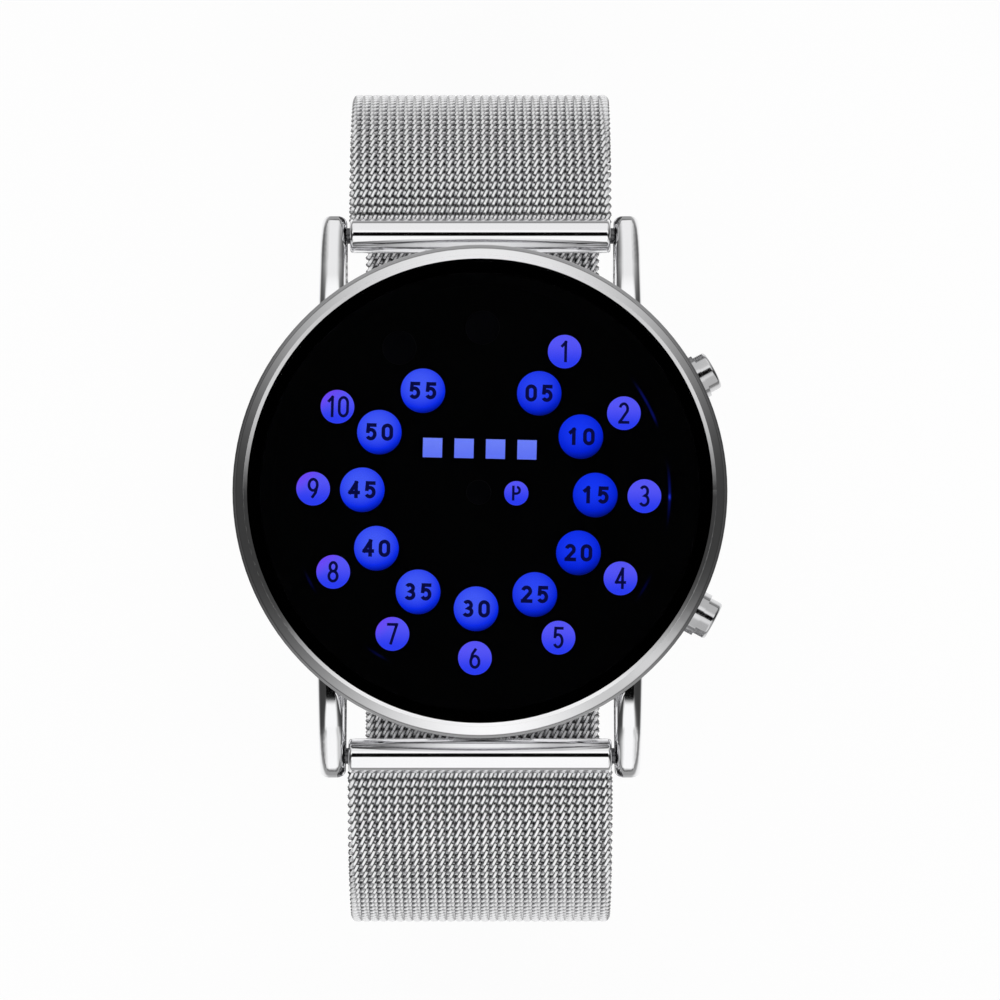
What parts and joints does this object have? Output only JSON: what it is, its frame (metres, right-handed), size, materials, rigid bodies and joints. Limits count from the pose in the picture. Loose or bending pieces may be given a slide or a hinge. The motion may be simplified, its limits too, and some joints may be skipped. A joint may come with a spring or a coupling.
{
  "type": "wrist watch with lit disc dial",
  "caption": "Round steel wrist watch with a black dial of lit numbered discs, side pushers and a woven mesh band closed by a sliding clasp.",
  "frame": {"origin": "centre of the clasp's flat underside, straight below the dial, where the watch stands", "axes": "+X to 3 o'clock, +Y to 12 o'clock, +Z out of the dial"},
  "size_m": [0.04, 0.0702, 0.054],
  "materials": {
    "polished_steel": "polished stainless steel",
    "brushed_steel": "fine brushed stainless steel",
    "mesh_steel": "woven stainless steel wire",
    "spring_steel": "plain spring wire",
    "crystal_glass": "clear flat mineral glass",
    "black_gloss": "gloss black",
    "black_plastic": "moulded black",
    "blue_diffuser": "blue diffusing plastic",
    "lamp_resin": "clear lamp resin",
    "board_laminate": "green board lacquer",
    "contact_metal": "gold plated spring metal",
    "cell_steel": "nickel plated steel",
    "seal_rubber": "soft black rubber"
  },
  "bodies": {
    "case": {"case_body": "polished_steel", "bezel": "polished_steel", "crystal": "crystal_glass", "crystal_gasket": "seal_rubber", "dial_mask": "black_gloss", "hour_windows": "blue_diffuser", "minute_windows": "blue_diffuser", "minute_squares": "blue_diffuser", "half_day_windows": "blue_diffuser", "light_well_frame": "black_plastic", "leds": "lamp_resin", "circuit_board": "board_laminate", "controller_chip": "black_plastic", "timing_crystal": "cell_steel", "battery": "cell_steel", "battery_contact": "contact_metal", "battery_strap": "spring_steel", "movement_holder": "black_plastic", "switch_contacts": "contact_metal", "case_back": "brushed_steel", "case_back_gasket": "seal_rubber", "case_back_screws": "brushed_steel", "pusher_tube_upper": "polished_steel", "pusher_tube_lower": "polished_steel", "pusher_seal_upper": "seal_rubber", "pusher_seal_lower": "seal_rubber", "pusher_spring_upper": "spring_steel", "pusher_spring_lower": "spring_steel", "spring_bar_barrel_12": "brushed_steel", "spring_bar_barrel_6": "brushed_steel", "spring_bar_spring_12": "spring_steel", "spring_bar_spring_6": "spring_steel"},
    "upper_pusher": {"pusher_upper": "polished_steel", "pusher_clip_upper": "spring_steel"},
    "lower_pusher": {"pusher_lower": "polished_steel", "pusher_clip_lower": "spring_steel"},
    "upper_shoulder": {"band_end_tube_12": "polished_steel", "band_shoulder_12": "mesh_steel"},
    "upper_side": {"band_side_12": "mesh_steel"},
    "upper_end": {"band_lower_12": "mesh_steel", "end_holder": "brushed_steel", "end_bar": "polished_steel"},
    "lower_shoulder": {"band_end_tube_6": "polished_steel", "band_shoulder_6": "mesh_steel"},
    "lower_side": {"band_side_6": "mesh_steel"},
    "lower_end": {"band_lower_6": "mesh_steel", "band_tail_cap": "brushed_steel", "clasp_body": "brushed_steel", "clamp_flap_pin": "polished_steel", "hook_lever_pin": "polished_steel"},
    "flap": {"clamp_flap": "brushed_steel"},
    "lever": {"hook_lever": "brushed_steel"},
    "bar_tip_12_right": {"spring_bar_tip_12_right": "brushed_steel"},
    "bar_tip_12_left": {"spring_bar_tip_12_left": "brushed_steel"},
    "bar_tip_6_right": {"spring_bar_tip_6_right": "brushed_steel"},
    "bar_tip_6_left": {"spring_bar_tip_6_left": "brushed_steel"}
  },
  "joints": [
    {"name": "upper_pusher_press", "type": "slide", "parent": "case", "child": "upper_pusher", "axis": [-0.8788, -0.4772, 0], "range_m": [0, 0.0006], "stiffness_N_per_m": 1200, "springref_m": -0.0004, "deforming": ["pusher_spring_upper"]},
    {"name": "lower_pusher_press", "type": "slide", "parent": "case", "child": "lower_pusher", "axis": [-0.8788, 0.4772, 0], "range_m": [0, 0.0006], "stiffness_N_per_m": 1200, "springref_m": -0.0004, "deforming": ["pusher_spring_lower"]},
    {"name": "bar_tip_12_right_slide", "type": "slide", "parent": "case", "child": "bar_tip_12_right", "axis": [-1, 0, 0], "range_m": [0, 0.00115], "stiffness_N_per_m": 900, "springref_m": -0.001, "deforming": ["spring_bar_spring_12"]},
    {"name": "bar_tip_12_left_slide", "type": "slide", "parent": "case", "child": "bar_tip_12_left", "axis": [1, 0, 0], "range_m": [0, 0.00115], "stiffness_N_per_m": 900, "springref_m": -0.001, "deforming": ["spring_bar_spring_12"]},
    {"name": "bar_tip_6_right_slide", "type": "slide", "parent": "case", "child": "bar_tip_6_right", "axis": [-1, 0, 0], "range_m": [0, 0.00115], "stiffness_N_per_m": 900, "springref_m": -0.001, "deforming": ["spring_bar_spring_6"]},
    {"name": "bar_tip_6_left_slide", "type": "slide", "parent": "case", "child": "bar_tip_6_left", "axis": [1, 0, 0], "range_m": [0, 0.00115], "stiffness_N_per_m": 900, "springref_m": -0.001, "deforming": ["spring_bar_spring_6"]},
    {"name": "upper_band_hinge", "type": "hinge", "parent": "case", "child": "upper_shoulder", "pos_m": [0, 0.02135, 0.0488], "axis": [1, 0, 0], "range_deg": [0, 60]},
    {"name": "upper_side_flex", "type": "hinge", "parent": "upper_shoulder", "child": "upper_side", "pos_m": [0, 0.03435, 0.0363], "axis": [1, 0, 0], "range_deg": [0, 50]},
    {"name": "upper_end_flex", "type": "hinge", "parent": "upper_side", "child": "upper_end", "pos_m": [0, 0.02879, 0.00781], "axis": [1, 0, 0], "range_deg": [0, 50]},
    {"name": "lower_band_hinge", "type": "hinge", "parent": "case", "child": "lower_shoulder", "pos_m": [0, -0.02135, 0.0488], "axis": [-1, 0, 0], "range_deg": [0, 60]},
    {"name": "lower_side_flex", "type": "hinge", "parent": "lower_shoulder", "child": "lower_side", "pos_m": [0, -0.03435, 0.0363], "axis": [-1, 0, 0], "range_deg": [0, 50]},
    {"name": "lower_end_flex", "type": "hinge", "parent": "lower_side", "child": "lower_end", "pos_m": [0, -0.02879, 0.00781], "axis": [-1, 0, 0], "range_deg": [0, 50]},
    {"name": "clamp_flap_hinge", "type": "hinge", "parent": "lower_end", "child": "flap", "pos_m": [0, 0.0045, 0.0042], "axis": [-1, 0, 0], "range_deg": [0, 80]},
    {"name": "hook_lever_hinge", "type": "hinge", "parent": "lower_end", "child": "lever", "pos_m": [0, 0.0065, 0.0042], "axis": [1, 0, 0], "range_deg": [0, 100]}
  ]
}
